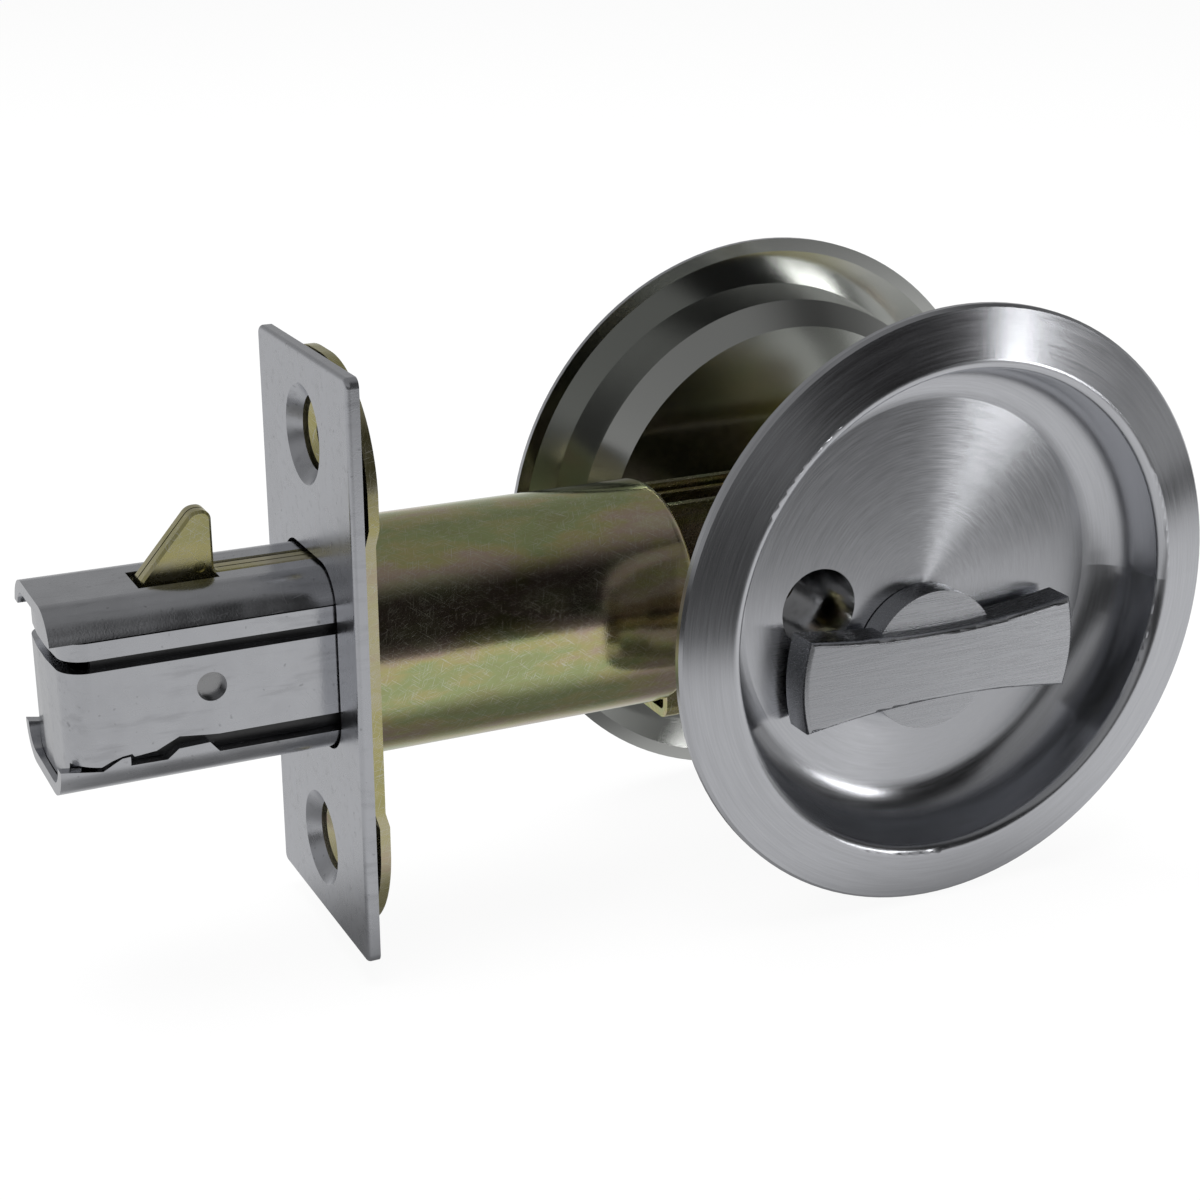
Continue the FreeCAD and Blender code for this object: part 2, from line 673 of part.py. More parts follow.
def make_hub_fork():
    """The hub in the case and the open fork on it that drives the pin to and fro."""
    body = new_body("hub_fork")
    drawn = new_sketch(body, "XZ_Plane")
    ring(drawn, "dim.hub_radius")
    pad(body, drawn, "dim.hub_length", middle=True)
    outer = "(dim.fork_slot / 2 + dim.fork_prong)"
    slot = "(dim.fork_slot / 2)"
    slot_floor = "(%s - dim.fork_slot / 2 - dim.fork_depth)" % HALF_THROW
    slot_round = slot + " - dim.running"
    tip_round = "dim.fork_prong / 2 - dim.running"
    drawn = new_sketch(body, "XZ_Plane")
    outline(drawn, [
        ("-dim.fork_root", "0"),
        ("dim.fork_root", "0"),
        (outer, "dim.fork_shoulder", "dim.hub_radius"),
        (outer, "dim.fork_length", tip_round),
        (slot, "dim.fork_length", tip_round),
        (slot, slot_floor, slot_round),
        ("-" + slot, slot_floor, slot_round),
        ("-" + slot, "dim.fork_length", tip_round),
        ("-" + outer, "dim.fork_length", tip_round),
        ("-" + outer, "dim.fork_shoulder", "dim.hub_radius"),
    ])
    pad(body, drawn, "dim.fork_thick", middle=True)
    # The fork leans at 45 degrees when the bolt is thrown, so its square bore stands on a corner
    bore = new_sketch(body, "XZ_Plane")
    diagonal = "(sqrt(2) * (dim.spindle_side / 2 + dim.running))"
    outline(bore, [("0", "-" + diagonal), (diagonal, "0"), ("0", diagonal), ("-" + diagonal, "0")])
    pocket(body, bore)
    quarter = FreeCAD.Rotation(FreeCAD.Vector(0, 1, 0), -45)
    body.Placement = FreeCAD.Placement(FreeCAD.Vector(0, 0, 0), quarter)
    return place(body, "dim.backset", "0", "-dim.turn_drop")


# Bolt: sheet channels above and below a strap that wraps the nose, lined inside by two more


def slab(label, corners, low, high):
    """A flat plate with its outline in the XZ plane, between two distances along Y."""
    body = new_body(label)
    drawn = new_sketch(body, "XZ_Plane", "-(%s)" % high)
    outline(drawn, corners)
    pad(body, drawn, "(%s) - (%s)" % (high, low))
    return body


def bolt_profile(name, inset, front, back):
    """A bar with the bolt's rounded section, shrunk all round by an inset."""
    body = new_body(name)
    drawn = new_sketch(body, "YZ_Plane", front)
    half_y = "(%s - %s)" % (BOLT_HALF_Y, inset)
    half_z = "(%s - %s)" % (BOLT_HALF_Z, inset)
    rectangle(drawn, "-" + half_y, "-" + half_z, half_y, half_z, "dim.bolt_corner - %s" % inset)
    pad(body, drawn, "(%s) - (%s)" % (back, front))
    return body


def bolt_shell(name, front):
    outer = bolt_profile(name + "_outer", "0", front, "dim.bolt_tail")
    inner = bolt_profile(name + "_inner", "dim.bolt_sheet", front + " - 1", "dim.bolt_tail + 1")
    return combined("Cut", name, outer, inner)


# The lower seam in the side view, from the nose to where it runs straight: the strap's edge, then the channel's
STRAP_EDGE = (("-22.5", "-5.8"), ("-21.6", "-5.4"), ("-20.6", "-5.1"), ("-19.7", "-5.0"), ("-19.5", "-5.3"),
              ("-17.45", "-5.1"), ("-15.3", "-4.1"), ("-12.7", "-4.4"))
CHANNEL_EDGE = (("-22.4", "-6.3"), ("-21.2", "-5.6"), ("-20.6", "-5.3"), ("-19.85", "-5.25"), ("-19.85", "-6.15"),
                ("-16.5", "-6.2"), ("-15.4", "-5.3"), ("-12.5", "-5.2"), ("-11.6", "-6.3"))
SEAM_START = "-5.2"


def make_top_channel():
    """The cap, open at its front, with the lever's narrow slot and the beak's wide one."""
    shell = bolt_shell("top_shell", BOLT_FRONT)
    kept = block("top_keep", (BOLT_FRONT, "dim.bolt_tail"), ("-" + BOLT_HALF_Y, BOLT_HALF_Y),
                 ("dim.skirt_low", BOLT_HALF_Z))
    half_lever = "(dim.hook_ply + dim.hook_gap / 2 + dim.slack)"
    depth = (BOLT_INSIDE_Z + " - dim.bolt_sheet", BOLT_HALF_Z + " + dim.bolt_sheet")
    narrow = block("lever_slot", ("-dim.hook_lead - dim.slack", "dim.lever_slot_end"),
                   ("-" + half_lever, half_lever), depth)
    wide = block("hook_slot", ("-dim.hook_lead - dim.hook_length - dim.hook_slot_lead", "-dim.hook_lead"),
                 ("-%s - dim.hook_slot_near" % half_lever, half_lever + " + dim.hook_slot_far"), depth)
    channel = combined("Common", "top_channel", shell, kept)
    channel = combined("Cut", "top_channel_slotted", channel, narrow)
    return labelled(combined("Cut", "top_channel_cut", channel, wide), "bolt_top_channel")


def make_bottom_channel():
    shell = bolt_shell("bottom_shell", BOLT_FRONT)
    ahead = BOLT_FRONT + " - 1"
    behind = "dim.bolt_tail + 1"
    below = "-%s - 1" % BOLT_HALF_Z
    corners = [(behind, below), (behind, "-dim.skirt_high")] + list(reversed(CHANNEL_EDGE))
    corners += [(ahead, SEAM_START + " - 2 * dim.seam"), (ahead, below)]
    kept = slab("bottom_keep", corners, "-%s - 1" % BOLT_HALF_Y, BOLT_HALF_Y + " + 1")
    return labelled(combined("Common", "bottom_channel", shell, kept), "bolt_bottom_channel")


def nose_outline(drawn, inset):
    """The strap in plan: round vertical corners at the nose and a slightly bulged front."""
    half = "(%s - %s)" % (BOLT_HALF_Y, inset)
    front = "(%s - dim.nose_bulge + %s)" % (NOSE, inset)
    side_front = "(%s + %s)" % (NOSE, inset)
    outline(drawn, [
        (side_front, "-" + half, "dim.nose_corner - %s" % inset),
        ("dim.bolt_tail", "-" + half),
        ("dim.bolt_tail", half),
        (side_front, half, "dim.nose_corner - %s" % inset),
        (front, "dim.nose_flat", "dim.nose_bow"),
        (front, "-dim.nose_flat", "dim.nose_bow"),
    ])


def make_wrap(name, inset, low, high, kept):
    """A strip that goes round the nose. Its front also fills the open end of the channel it reaches into."""
    body = new_body(name + "_blank")
    drawn = new_sketch(body, "XY_Plane", low)
    nose_outline(drawn, inset)
    pad(body, drawn, "(%s) - (%s)" % (high, low))
    drawn = new_sketch(body, "XY_Plane", low)
    nose_outline(drawn, "dim.bolt_sheet")
    pocket(body, drawn)
    plug = bolt_profile(name + "_plug", "(dim.bolt_sheet + dim.seam)", NOSE + " - 1", NOSE + " + dim.bolt_sheet")
    return combined("Common", name + "_cut", body, combined("Fuse", name + "_keep", kept, plug))


def make_band():
    """The strip under the cap, let in a little all round."""
    top = "dim.skirt_low - dim.seam"
    kept = block("band_side", (BOLT_FRONT, "dim.bolt_tail"), ("-" + BOLT_HALF_Y, BOLT_HALF_Y), ("dim.slot_high", top))
    return labelled(make_wrap("band", "dim.seam", "dim.slot_high", BOLT_INSIDE_Z + " - dim.seam", kept), "bolt_band")


def make_nose_strap():
    ahead = NOSE + " - 1"
    behind = "dim.bolt_tail + 1"
    corners = [(ahead, SEAM_START)] + list(STRAP_EDGE)
    corners += [("-11.6", "-dim.strap_low"), (behind, "-dim.strap_low"), (behind, "dim.slot_low"),
                (ahead, "dim.slot_low")]
    kept = slab("strap_side", corners, "-%s - 1" % BOLT_HALF_Y, BOLT_HALF_Y + " + 1")
    strap = make_wrap("strap", "0", "-(%s - dim.seam)" % BOLT_INSIDE_Z, "dim.slot_low", kept)
    for x, z in RIVETS:
        hole = rod("strap_hole", "dim.rivet_radius", "2 * dim.bolt_width", x, "-dim.bolt_width", z)
        strap = combined("Cut", "strap_pierced", strap, hole)
    return labelled(strap, "bolt_nose_strap")


# Rivets that tie strap, liner and rails together, in the side view
RIVETS = (("-12", "0.2"), ("3.5", "0.2"))


def make_liner(label, side):
    """One half of the lining, a C of sheet that backs the slots from inside."""
    inset = "(dim.bolt_sheet + dim.lap)"
    deep = "(dim.bolt_sheet + dim.lap + dim.liner_sheet)"
    front = NOSE + " + dim.liner_set"
    outer = bolt_profile(label + "_outer", inset, front, "dim.bolt_tail - dim.liner_short")
    inner = bolt_profile(label + "_inner", deep, front + " - 1", "dim.bolt_tail + 1")
    wide = ("dim.liner_gap / 2", BOLT_HALF_Y) if side > 0 else ("-" + BOLT_HALF_Y, "-dim.liner_gap / 2")
    kept = block(label + "_keep", (BOLT_FRONT, "dim.bolt_tail"), wide, ("-" + BOLT_HALF_Z, BOLT_HALF_Z))
    liner = combined("Cut", label + "_tube", outer, inner)
    liner = combined("Common", label + "_half", liner, kept)
    for x, z in RIVETS:
        hole = rod(label + "_hole", "dim.rivet_radius", "2 * dim.bolt_width", x, "-dim.bolt_width", z)
        liner = combined("Cut", label + "_pierced", liner, hole)
    return labelled(liner, label)


def make_rail(label, side):
    """One of the two plates that carry the hook's pivot and run back to the drive pin."""
    low = RAIL_IN if side > 0 else "-" + RAIL_OUT
    high = RAIL_OUT if side > 0 else "-" + RAIL_IN
    end = PIN_X + " + dim.pin_radius + dim.rail_sheet"
    foot = "(-dim.pivot_low - dim.pivot_radius - dim.rail_round)"
    corners = [
        ("-dim.rail_front", "-dim.rail_arm_low", "dim.rail_round / 2"),
        ("dim.pivot_back - 2 * dim.rail_step", "-dim.rail_arm_low", "dim.rail_round"),
        ("dim.pivot_back - dim.rail_step", foot, "dim.rail_round"),
        ("dim.pivot_back + dim.rail_step", foot, "dim.rail_round"),
        ("dim.pivot_back + 2 * dim.rail_step", "dim.rail_low", "dim.rail_round"),
        (end, "dim.rail_low", "dim.rail_round"),
        (end, "dim.rail_top", "dim.rail_round"),
        ("dim.pivot_back + dim.rail_step", "dim.rail_top", "dim.rail_round"),
        ("dim.pivot_back - dim.rail_step", "dim.rail_arm_high", "dim.rail_round"),
        ("-dim.rail_front", "dim.rail_arm_high", "dim.rail_round / 2"),
    ]
    rail = slab(label + "_plate", corners, low, high)
    for name, radius, x, z in (("pivot", "dim.pivot_radius", "dim.pivot_back", "-dim.pivot_low"),
                               ("drive", "dim.pin_radius", PIN_X, PIN_Z)):
        hole = rod("%s_%s" % (label, name), radius, "dim.rail_sheet", x, low, z)
        rail = combined("Cut", label + "_drilled", rail, hole)
    return labelled(rail, label)


def make_bolt_rivets():
    """Four short rivets, a pair each side, sunk well under the strap's face."""
    rivets = []
    length = "%s - dim.rivet_sink - %s" % (BOLT_HALF_Y, RAIL_OUT)
    for x, z in RIVETS:
        for low in (RAIL_OUT, "-(%s + %s)" % (RAIL_OUT, length)):
            rivets.append(rod("bolt_rivet", "dim.rivet_radius", length, x, low, z))
    return labelled(joined("rivets", *rivets), "bolt_rivets")


def cross_pin(label, radius, half_length, x, z):
    return labelled(rod(label + "_rod", radius, "2 * (%s)" % half_length, x, "-(%s)" % half_length, z), label)


# Hook: two plies on the bolt's centre line, the beak standing out through the bolt's top


def make_ply(label, side):
    back = "(-dim.hook_lead)"
    toe = "(-dim.hook_lead - dim.hook_length)"
    deck = "(%s - dim.running)" % BOLT_HALF_Z
    peak = "(%s + dim.hook_rise)" % BOLT_HALF_Z
    eye_low = "-dim.pivot_low - dim.eye_half"
    low = "dim.hook_gap / 2" if side > 0 else "-dim.hook_gap / 2 - dim.hook_ply"
    high = "dim.hook_gap / 2 + dim.hook_ply" if side > 0 else "-dim.hook_gap / 2"
    corners = [
        (toe, deck + " - dim.hook_toe", "2 * dim.hook_edge"),
        (back, "dim.lever_low", "dim.lever_round"),
        ("dim.pivot_back - dim.lever_bend", eye_low, "dim.eye_half"),
        ("dim.pivot_back + dim.eye_half", eye_low, "dim.eye_half - dim.running"),
        ("dim.pivot_back + dim.eye_half", "-dim.pivot_low + dim.eye_half", "dim.eye_half - dim.running"),
        ("dim.pivot_back - dim.lever_bend", "-dim.pivot_low + dim.lever_bend", "dim.lever_round"),
        ("dim.deck_end", deck, "dim.deck_end"),
        (back, deck, "2 * dim.hook_edge"),
        (back, peak, "dim.hook_tip_round"),
        (back + " - dim.hook_tip", peak, "1.5 * dim.hook_tip_round"),
        (toe, deck, "2 * dim.hook_edge"),
    ]
    body = slab(label + "_plate", corners, low, high)
    outside = number(high if side > 0 else low)
    names = edges_where(body, lambda edge: abs(edge.BoundBox.YMin - outside) < 1e-6
                        and abs(edge.BoundBox.YMax - outside) < 1e-6)
    bevelled(body, body.Tip, names, "dim.hook_edge")
    ply = body
    for radius, x, z in (("dim.pivot_radius + dim.running", "dim.pivot_back", "-dim.pivot_low"),
                         ("dim.hook_rivet_radius", HOOK_RIVET_X, HOOK_RIVET_Z)):
        hole = rod(label + "_hole", radius, "dim.hook_ply", x, low, z)
        ply = combined("Cut", label + "_drilled", ply, hole)
    return labelled(ply, label)


half_hook = "dim.hook_gap / 2 + dim.hook_ply - dim.hook_rivet_sink"
PIECES = [
    make_faceplate(),
    make_backplate(),
    make_latch_tube(),
    make_hub_case(),
    make_pull("thumbturn_pull", -1),
    make_pull("release_pull", 1),
    make_sleeves("thumbturn_pull_sleeves", -1),
    make_sleeves("release_pull_sleeves", 1),
    make_thumbturn(),
    make_release(),
    make_clip("thumbturn_clip", -1),
    make_clip("release_clip", 1),
    make_spindle(),
    make_hub_fork(),
    make_top_channel(),
    make_bottom_channel(),
    make_band(),
    make_nose_strap(),
    make_liner("bolt_liner_near", -1),
    make_liner("bolt_liner_far", 1),
    make_rail("drive_rail_near", -1),
    make_rail("drive_rail_far", 1),
    make_bolt_rivets(),
    cross_pin("drive_pin", "dim.pin_radius", RAIL_OUT + " + dim.slack", PIN_X, PIN_Z),
    cross_pin("hook_pivot_pin", "dim.pivot_radius", RAIL_OUT + " + dim.slack", "dim.pivot_back", "-dim.pivot_low"),
    make_ply("hook_ply_near", -1),
    make_ply("hook_ply_far", 1),
    cross_pin("hook_rivet", "dim.hook_rivet_radius", half_hook, HOOK_RIVET_X, HOOK_RIVET_Z),
]

# Write every piece once the whole document is sound
doc.removeObject("probe")
doc.recompute()
for item in doc.Objects:
    if "Invalid" in item.State or "Error" in item.State:
        raise ValueError("%s failed: %s" % (item.Label, item.State))
for piece in PIECES:
    if piece.Shape.isNull() or not piece.Shape.isValid() or not piece.Shape.Solids:
        raise ValueError(piece.Label + " is not a sound solid")
os.makedirs("parts", exist_ok=True)
for piece in PIECES:
    piece.Shape.exportStep("parts/%s.step" % piece.Label)
    print("%-24s solids %d volume %9.1f" % (piece.Label, len(piece.Shape.Solids), piece.Shape.Volume))
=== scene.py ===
import json
import math

import bpy
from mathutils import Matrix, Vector


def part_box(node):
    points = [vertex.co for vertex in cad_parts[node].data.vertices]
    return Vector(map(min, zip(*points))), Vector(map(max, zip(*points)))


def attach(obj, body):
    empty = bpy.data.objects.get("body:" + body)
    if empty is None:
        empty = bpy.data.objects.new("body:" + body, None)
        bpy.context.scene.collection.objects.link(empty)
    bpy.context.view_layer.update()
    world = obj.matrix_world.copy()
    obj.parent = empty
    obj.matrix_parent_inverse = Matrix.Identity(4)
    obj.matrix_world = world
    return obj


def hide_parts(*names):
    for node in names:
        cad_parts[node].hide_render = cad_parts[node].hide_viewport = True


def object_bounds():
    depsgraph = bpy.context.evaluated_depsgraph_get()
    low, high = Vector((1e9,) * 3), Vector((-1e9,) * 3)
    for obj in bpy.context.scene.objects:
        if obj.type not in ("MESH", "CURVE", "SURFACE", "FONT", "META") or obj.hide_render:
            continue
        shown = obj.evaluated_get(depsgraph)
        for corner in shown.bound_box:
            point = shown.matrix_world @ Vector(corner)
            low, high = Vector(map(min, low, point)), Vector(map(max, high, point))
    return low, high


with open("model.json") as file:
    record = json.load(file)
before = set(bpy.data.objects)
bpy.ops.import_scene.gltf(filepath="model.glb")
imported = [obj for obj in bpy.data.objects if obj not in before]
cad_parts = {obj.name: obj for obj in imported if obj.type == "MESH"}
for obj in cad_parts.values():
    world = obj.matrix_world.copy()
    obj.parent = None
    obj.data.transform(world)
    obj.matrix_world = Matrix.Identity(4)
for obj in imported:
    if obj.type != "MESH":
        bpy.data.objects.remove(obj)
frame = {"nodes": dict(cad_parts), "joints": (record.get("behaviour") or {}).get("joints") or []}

cad_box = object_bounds()

# Sizes and places in metres, taken from the frame where it has them
joints = {joint["name"]: joint for joint in frame["joints"]}
hub_middle = Vector(joints["thumbturn_turn"]["pos_m"])
pull_low, pull_high = (Vector(corner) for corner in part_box("thumbturn_pull"))
pull_middle = (pull_low + pull_high) / 2
pull_radius = (pull_high.z - pull_low.z) / 2
tube_low, tube_high = (Vector(corner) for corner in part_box("latch_tube"))
tube_radius = (tube_high.z - tube_low.z) / 2

# Camera, fitted to the outlines in the photograph
CAMERA_PLACE = Vector((-0.06005, -0.18704, 0.07354))
CAMERA_WAY = Vector((0.41108, 0.84771, -0.33528))
CAMERA_LENS = 65.05
SENSOR = 36.0
CAMERA_CLIP = 0.01

# How far the near pull leans back in the photograph, as the tangent of 6.5 degrees, for its reflections alone
PULL_LEAN = 0.113


class Nodes:
    """A node tree with short calls that make its nodes and link them."""

    def __init__(self, tree):
        self.tree = tree
        tree.nodes.clear()

    def node(self, kind, inputs=None, **settings):
        made = self.tree.nodes.new(kind)
        for name, value in settings.items():
            setattr(made, name, value)
        for key, value in (inputs or {}).items():
            self.feed(made.inputs[key], value)
        return made

    def feed(self, socket, value):
        if isinstance(value, bpy.types.NodeSocket):
            self.tree.links.new(value, socket)
        else:
            socket.default_value = value

    def math(self, operation, first, second=0.0, clamp=False):
        made = self.node("ShaderNodeMath", {0: first, 1: second}, operation=operation, use_clamp=clamp)
        return made.outputs[0]

    def vector(self, operation, first, second=(0.0, 0.0, 0.0)):
        return self.node("ShaderNodeVectorMath", {0: first, 1: second}, operation=operation).outputs[0]

    def combine(self, x, y, z):
        return self.node("ShaderNodeCombineXYZ", {0: x, 1: y, 2: z}).outputs[0]

    def split(self, vector):
        return self.node("ShaderNodeSeparateXYZ", {0: vector}).outputs

    def span(self, value, low, high, to_low=0.0, to_high=1.0):
        """value moved from one range to another, smoothly and with its ends held."""
        made = self.node("ShaderNodeMapRange", {0: value, 1: low, 2: high, 3: to_low, 4: to_high},
                         interpolation_type="SMOOTHSTEP")
        return made.outputs[0]

    def mix(self, factor, first, second):
        made = self.node("ShaderNodeMix", data_type="RGBA")
        self.feed(made.inputs[0], factor)
        self.feed(made.inputs[6], first)
        self.feed(made.inputs[7], second)
        return made.outputs[2]

    def noise(self, vector, scale, detail=2.0, rough=0.5, w=None):
        made = self.node("ShaderNodeTexNoise", {"Vector": vector, "Scale": scale, "Detail": detail,
                                                "Roughness": rough})
        if w is not None:
            made.noise_dimensions = "4D"
            self.feed(made.inputs["W"], w)
        return made.outputs["Fac"]

    def ramp(self, factor, stops):
        made = self.node("ShaderNodeValToRGB", {0: factor})
        points = made.color_ramp.elements
        while len(points) < len(stops):
            points.new(0.5)
        for point, (at, colour) in zip(points, stops):
            point.position = at
            point.color = colour
        return made.outputs[0]


def grey(level, tint=0.0):
    """A neutral colour, a little bluer with a positive tint."""
    return (level * (1 - tint / 2), level, min(1.0, level * (1 + 1.6 * tint)), 1.0)


# How far apart in the noise each slant of scratches is taken, and how softly a scratch ends
SLANT_STEP = 3.7
SCRATCH_EDGE = 0.05
SCRATCH_WIDTH = 0.00005


class Metal(Nodes):
    """A metal whose marks follow the object's own coordinates, which are the frame's."""

    def __init__(self, name):
        self.material = bpy.data.materials.new(name)
        self.material.use_nodes = True
        super().__init__(self.material.node_tree)
        self.shader = self.node("ShaderNodeBsdfPrincipled", {"Metallic": 1.0})
        output = self.node("ShaderNodeOutputMaterial")
        self.feed(output.inputs["Surface"], self.shader.outputs[0])
        self.place = self.node("ShaderNodeTexCoord").outputs["Object"]

    def finish(self, colour, roughness, height, bump, anisotropic=0.0, across=None, lean=0.0):
        self.feed(self.shader.inputs["Base Color"], colour)
        self.feed(self.shader.inputs["Roughness"], roughness)
        self.feed(self.shader.inputs["Anisotropic"], anisotropic)
        if across is not None:
            turned = self.node("ShaderNodeVectorTransform", {0: across}, vector_type="VECTOR",
                               convert_from="OBJECT", convert_to="WORLD")
            self.feed(self.shader.inputs["Tangent"], self.vector("NORMALIZE", turned.outputs[0]))
        made = self.node("ShaderNodeBump", {"Strength": 1.0, "Distance": bump, "Height": height})
        normal = self.node("ShaderNodeNewGeometry").outputs["Normal"]
        leant = self.vector("ADD", normal, self.combine(0.0, 0.0, lean))
        self.feed(made.inputs["Normal"], self.vector("NORMALIZE", leant))
        self.feed(self.shader.inputs["Normal"], made.outputs[0])
        return self.material

    def scratches(self, angles, seed, length, width, rare, round_radius=0.0):
        """Short straight lines at a few slants, over faces towards -Y and +Z.

        With a round_radius they run over a tube of that radius round the X axis.
        """
        along, y, z = self.split(self.place)
        if round_radius:
            up = self.math("MULTIPLY", self.math("ARCTAN2", z, self.math("MULTIPLY", y, -1.0)), round_radius)
        else:
            up = self.math("SUBTRACT", z, y)
        marks = 0.0
        for number, angle in enumerate(angles):
            slant = math.radians(angle)
            run = self.math("ADD", self.math("MULTIPLY", along, math.cos(slant)),
                            self.math("MULTIPLY", up, math.sin(slant)))
            side = self.math("SUBTRACT", self.math("MULTIPLY", up, math.cos(slant)),
                             self.math("MULTIPLY", along, math.sin(slant)))
            spot = self.combine(self.math("DIVIDE", run, length), self.math("DIVIDE", side, width),
                                seed + SLANT_STEP * number)
            line = self.span(self.noise(spot, 1.0, 0.0), rare, rare + SCRATCH_EDGE)
            marks = self.math("MAXIMUM", marks, line)
        return marks


# Metal brushed in circles: the pitches of its rings, each with how much they change round a turn
RINGS = ((0.00012, 4.0), (0.0007, 6.0))
RING_SHARES = (0.7, 0.3)
RING_BUMP = 0.0000035
BRUSHING = 0.88
# The smooth back of a pull: its plating, and the rim outside which the wall counts as front
BACK_PLATE = (0.55, 0.56, 0.54, 1.0)
BACK_ROUGH = 0.15
RIM_BAND = 0.0020
RIM_FADE = 0.0005


def turned_metal(name, middle, level, rough, back_way=0.0):
    """Metal brushed in circles about the Y axis through a point, with a smooth plated back where it has one.

    back_way is +1.0 or -1.0 for a pull whose back looks towards +Y or -Y, and 0.0 for one brushed all over.
    """
    metal = Metal(name)
    x, y, z = metal.split(metal.vector("SUBTRACT", metal.place, tuple(middle)))
    radius = metal.math("SQRT", metal.math("ADD", metal.math("MULTIPLY", x, x), metal.math("MULTIPLY", z, z)))
    way_x = metal.math("DIVIDE", x, radius)
    way_z = metal.math("DIVIDE", z, radius)
    marks = []
    for pitch, turns in RINGS:
        spot = metal.combine(metal.math("MULTIPLY", way_x, turns), metal.math("MULTIPLY", way_z, turns),
                             metal.math("DIVIDE", radius, pitch))
        marks.append(metal.noise(spot, 1.0, 2.0, 0.6, metal.math("DIVIDE", y, pitch)))
    fine, broad = (metal.math("MULTIPLY", mark, share) for mark, share in zip(marks, RING_SHARES))
    both = metal.math("ADD", fine, broad)
    colour = metal.mix(metal.span(both, 0.3, 0.7), grey(level * 0.93, 0.03), grey(level * 1.06, 0.03))
    roughness = metal.span(both, 0.25, 0.75, rough - 0.03, rough + 0.03)
    across = metal.combine(way_x, 0.0, way_z)
    brushing = BRUSHING
    lean = PULL_LEAN if back_way >= 0.0 else 0.0
    if back_way:
        nx, ny, nz = metal.split(metal.node("ShaderNodeTexCoord").outputs["Normal"])
        outward = metal.math("ADD", metal.math("MULTIPLY", nx, way_x), metal.math("MULTIPLY", nz, way_z))
        rim = pull_radius - RIM_BAND
        inside = metal.span(radius, rim - RIM_FADE, rim, 1.0, 0.0)
        wall = metal.math("MULTIPLY", metal.span(outward, 0.75, 0.85), inside)
        back = metal.math("MAXIMUM", wall, metal.span(metal.math("MULTIPLY", ny, back_way), 0.1, 0.3))
        front = metal.math("SUBTRACT", 1.0, back)
        roughness = metal.math("ADD", metal.math("MULTIPLY", roughness, front),
                               metal.math("MULTIPLY", back, BACK_ROUGH))
        colour = metal.mix(front, BACK_PLATE, colour)
        both = metal.math("MULTIPLY", both, front)
        brushing = metal.math("MULTIPLY", front, brushing)
        lean = metal.math("MULTIPLY", front, lean)
    return metal.finish(colour, roughness, both, RING_BUMP, brushing, across, lean)


# Metal brushed straight: the length and width of its grain
GRAIN_LENGTH = 0.005
GRAIN_WIDTH = 0.00013
GRAIN_BUMP = 0.000008
STRAIGHT_BRUSHING = 0.6


def brushed_metal(name, level, rough):
    """Metal brushed along the X axis."""
    metal = Metal(name)
    x, y, z = metal.split(metal.place)
    spot = metal.combine(metal.math("DIVIDE", x, GRAIN_LENGTH), metal.math("DIVIDE", y, GRAIN_WIDTH),
                         metal.math("DIVIDE", z, GRAIN_WIDTH))
    grain = metal.noise(spot, 1.0, 3.0, 0.6)
    colour = metal.mix(metal.span(grain, 0.3, 0.7), grey(level * 0.9, 0.03), grey(level * 1.06, 0.03))
    roughness = metal.span(grain, 0.25, 0.75, rough - 0.06, rough + 0.06)
    across = metal.combine(0.0, 0.0, 1.0)
    return metal.finish(colour, roughness, grain, GRAIN_BUMP, STRAIGHT_BRUSHING, across, PULL_LEAN)


# Plate: how closely its clouds, stains and pits lie, in repeats to the metre
CLOUDS = 260.0
STAINS = (150.0, 900.0, 900.0)
PITS = 1500.0
PLATE_SCRATCH_LENGTH = 0.0022
PLATE_BUMP = 0.000006


def plated_metal(name, level, rough, grain_size, tint=0.01):
    """Bright or satin plate with a fine grain, faint stains along X, small dark pits and a few scratches."""
    metal = Metal(name)
    grain = metal.noise(metal.place, 1.0 / grain_size, 2.0, 0.6)
    clouds = metal.noise(metal.place, CLOUDS, 3.0, 0.6)
    stretched = metal.vector("MULTIPLY", metal.place, STAINS)
    stains = metal.span(metal.noise(stretched, 1.0, 3.0, 0.6), 0.52, 0.75)
    pits = metal.span(metal.noise(metal.place, PITS, 1.0), 0.70, 0.78)
    scratch = metal.scratches((4.0, -52.0), 0.31, PLATE_SCRATCH_LENGTH, SCRATCH_WIDTH, rare=0.77)
    colour = metal.mix(metal.span(clouds, 0.3, 0.7), grey(level * 0.93, tint), grey(level * 1.04, tint))
    dark = metal.math("ADD", metal.math("MULTIPLY", stains, 0.22), metal.math("MULTIPLY", pits, 0.4),
                      clamp=True)
    colour = metal.mix(dark, colour, grey(level * 0.35, tint))
    colour = metal.mix(metal.math("MULTIPLY", scratch, 0.3), colour, grey(min(1.0, level * 1.25), tint))
    roughness = metal.math("ADD", metal.span(clouds, 0.3, 0.7, rough - 0.04, rough + 0.05),
                           metal.math("MULTIPLY", scratch, 0.1))
    return metal.finish(colour, roughness, grain, PLATE_BUMP)


